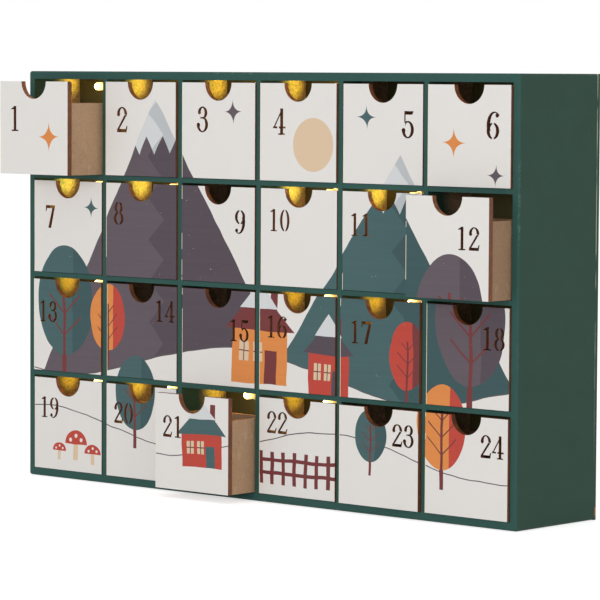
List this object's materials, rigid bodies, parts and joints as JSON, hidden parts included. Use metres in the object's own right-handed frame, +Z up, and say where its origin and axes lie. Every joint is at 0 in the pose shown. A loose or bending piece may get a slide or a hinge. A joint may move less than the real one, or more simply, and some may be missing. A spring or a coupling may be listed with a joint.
{
  "type": "wooden advent calendar",
  "caption": "Wide shallow wooden cabinet of small numbered drawers in a grid, with a finger notch in each printed front and warm battery lights inside.",
  "frame": {"origin": "centre of the case's underside, without the drawers that stand open", "axes": "+X along the case to the right seen from the front, +Z up, the drawers open towards -Y"},
  "size_m": [0.4, 0.1105, 0.26],
  "materials": {
    "green_paint": "matt dark green paint on board",
    "brown_board": "bare brown fibreboard",
    "printed_front": "off-white print, burnt cut edges",
    "warm_led": "warm white LED",
    "lead": "insulated lead",
    "black_plastic": "moulded plastic",
    "switch_plastic": "moulded plastic",
    "battery_sleeve": "plain plastic sleeve",
    "contact_metal": "plated spring steel"
  },
  "bodies": {
    "case": {"case_boards": "green_paint", "dividers": "green_paint", "shelves": "green_paint", "light_panel": "brown_board", "back_panel": "brown_board", "led_bulbs": "warm_led", "led_wire": "lead", "battery_box": "black_plastic", "batteries": "battery_sleeve", "battery_contacts": "contact_metal"},
    "drawer_01": {"drawer_01_front": "printed_front", "drawer_01_tray": "brown_board"},
    "drawer_02": {"drawer_02_front": "printed_front", "drawer_02_tray": "brown_board"},
    "drawer_03": {"drawer_03_front": "printed_front", "drawer_03_tray": "brown_board"},
    "drawer_04": {"drawer_04_front": "printed_front", "drawer_04_tray": "brown_board"},
    "drawer_05": {"drawer_05_front": "printed_front", "drawer_05_tray": "brown_board"},
    "drawer_06": {"drawer_06_front": "printed_front", "drawer_06_tray": "brown_board"},
    "drawer_07": {"drawer_07_front": "printed_front", "drawer_07_tray": "brown_board"},
    "drawer_08": {"drawer_08_front": "printed_front", "drawer_08_tray": "brown_board"},
    "drawer_09": {"drawer_09_front": "printed_front", "drawer_09_tray": "brown_board"},
    "drawer_10": {"drawer_10_front": "printed_front", "drawer_10_tray": "brown_board"},
    "drawer_11": {"drawer_11_front": "printed_front", "drawer_11_tray": "brown_board"},
    "drawer_12": {"drawer_12_front": "printed_front", "drawer_12_tray": "brown_board"},
    "drawer_13": {"drawer_13_front": "printed_front", "drawer_13_tray": "brown_board"},
    "drawer_14": {"drawer_14_front": "printed_front", "drawer_14_tray": "brown_board"},
    "drawer_15": {"drawer_15_front": "printed_front", "drawer_15_tray": "brown_board"},
    "drawer_16": {"drawer_16_front": "printed_front", "drawer_16_tray": "brown_board"},
    "drawer_17": {"drawer_17_front": "printed_front", "drawer_17_tray": "brown_board"},
    "drawer_18": {"drawer_18_front": "printed_front", "drawer_18_tray": "brown_board"},
    "drawer_19": {"drawer_19_front": "printed_front", "drawer_19_tray": "brown_board"},
    "drawer_20": {"drawer_20_front": "printed_front", "drawer_20_tray": "brown_board"},
    "drawer_21": {"drawer_21_front": "printed_front", "drawer_21_tray": "brown_board"},
    "drawer_22": {"drawer_22_front": "printed_front", "drawer_22_tray": "brown_board"},
    "drawer_23": {"drawer_23_front": "printed_front", "drawer_23_tray": "brown_board"},
    "drawer_24": {"drawer_24_front": "printed_front", "drawer_24_tray": "brown_board"},
    "battery_cover": {"battery_cover": "black_plastic"},
    "battery_switch": {"battery_switch": "switch_plastic"}
  },
  "joints": [
    {"name": "drawer_01_slide", "type": "slide", "parent": "case", "child": "drawer_01", "axis": [0, -1, 0], "range_m": [-0.0305, 0.0035]},
    {"name": "drawer_02_slide", "type": "slide", "parent": "case", "child": "drawer_02", "axis": [0, -1, 0], "range_m": [-0.0017, 0.0323]},
    {"name": "drawer_03_slide", "type": "slide", "parent": "case", "child": "drawer_03", "axis": [0, -1, 0], "range_m": [-0.0008, 0.0332]},
    {"name": "drawer_04_slide", "type": "slide", "parent": "case", "child": "drawer_04", "axis": [0, -1, 0], "range_m": [-0.0013, 0.0327]},
    {"name": "drawer_05_slide", "type": "slide", "parent": "case", "child": "drawer_05", "axis": [0, -1, 0], "range_m": [-0.0003, 0.0337]},
    {"name": "drawer_06_slide", "type": "slide", "parent": "case", "child": "drawer_06", "axis": [0, -1, 0], "range_m": [-0.0014, 0.0326]},
    {"name": "drawer_07_slide", "type": "slide", "parent": "case", "child": "drawer_07", "axis": [0, -1, 0], "range_m": [-0.0005, 0.0335]},
    {"name": "drawer_08_slide", "type": "slide", "parent": "case", "child": "drawer_08", "axis": [0, -1, 0], "range_m": [-0.0011, 0.0329]},
    {"name": "drawer_09_slide", "type": "slide", "parent": "case", "child": "drawer_09", "axis": [0, -1, 0], "range_m": [-0.0008, 0.0332]},
    {"name": "drawer_10_slide", "type": "slide", "parent": "case", "child": "drawer_10", "axis": [0, -1, 0], "range_m": [-0.0003, 0.0337]},
    {"name": "drawer_11_slide", "type": "slide", "parent": "case", "child": "drawer_11", "axis": [0, -1, 0], "range_m": [-0.0005, 0.0335]},
    {"name": "drawer_12_slide", "type": "slide", "parent": "case", "child": "drawer_12", "axis": [0, -1, 0], "range_m": [-0.0205, 0.0135]},
    {"name": "drawer_13_slide", "type": "slide", "parent": "case", "child": "drawer_13", "axis": [0, -1, 0], "range_m": [-0.001, 0.033]},
    {"name": "drawer_14_slide", "type": "slide", "parent": "case", "child": "drawer_14", "axis": [0, -1, 0], "range_m": [-0.0003, 0.0337]},
    {"name": "drawer_15_slide", "type": "slide", "parent": "case", "child": "drawer_15", "axis": [0, -1, 0], "range_m": [-0.0003, 0.0337]},
    {"name": "drawer_16_slide", "type": "slide", "parent": "case", "child": "drawer_16", "axis": [0, -1, 0], "range_m": [-0.0012, 0.0328]},
    {"name": "drawer_17_slide", "type": "slide", "parent": "case", "child": "drawer_17", "axis": [0, -1, 0], "range_m": [-0.002, 0.032]},
    {"name": "drawer_18_slide", "type": "slide", "parent": "case", "child": "drawer_18", "axis": [0, -1, 0], "range_m": [-0.0012, 0.0328]},
    {"name": "drawer_19_slide", "type": "slide", "parent": "case", "child": "drawer_19", "axis": [0, -1, 0], "range_m": [-0.0003, 0.0337]},
    {"name": "drawer_20_slide", "type": "slide", "parent": "case", "child": "drawer_20", "axis": [0, -1, 0], "range_m": [-0.0005, 0.0335]},
    {"name": "drawer_21_slide", "type": "slide", "parent": "case", "child": "drawer_21", "axis": [0, -1, 0], "range_m": [-0.0235, 0.0105]},
    {"name": "drawer_22_slide", "type": "slide", "parent": "case", "child": "drawer_22", "axis": [0, -1, 0], "range_m": [-0.0009, 0.0331]},
    {"name": "drawer_23_slide", "type": "slide", "parent": "case", "child": "drawer_23", "axis": [0, -1, 0], "range_m": [-0.0025, 0.0315]},
    {"name": "drawer_24_slide", "type": "slide", "parent": "case", "child": "drawer_24", "axis": [0, -1, 0], "range_m": [-0.0017, 0.0323]},
    {"name": "battery_cover_slide", "type": "slide", "parent": "case", "child": "battery_cover", "axis": [1, 0, 0], "range_m": [0, 0.05]},
    {"name": "battery_switch_slide", "type": "slide", "parent": "case", "child": "battery_switch", "axis": [1, 0, 0], "range_m": [-0.004, 0]}
  ]
}
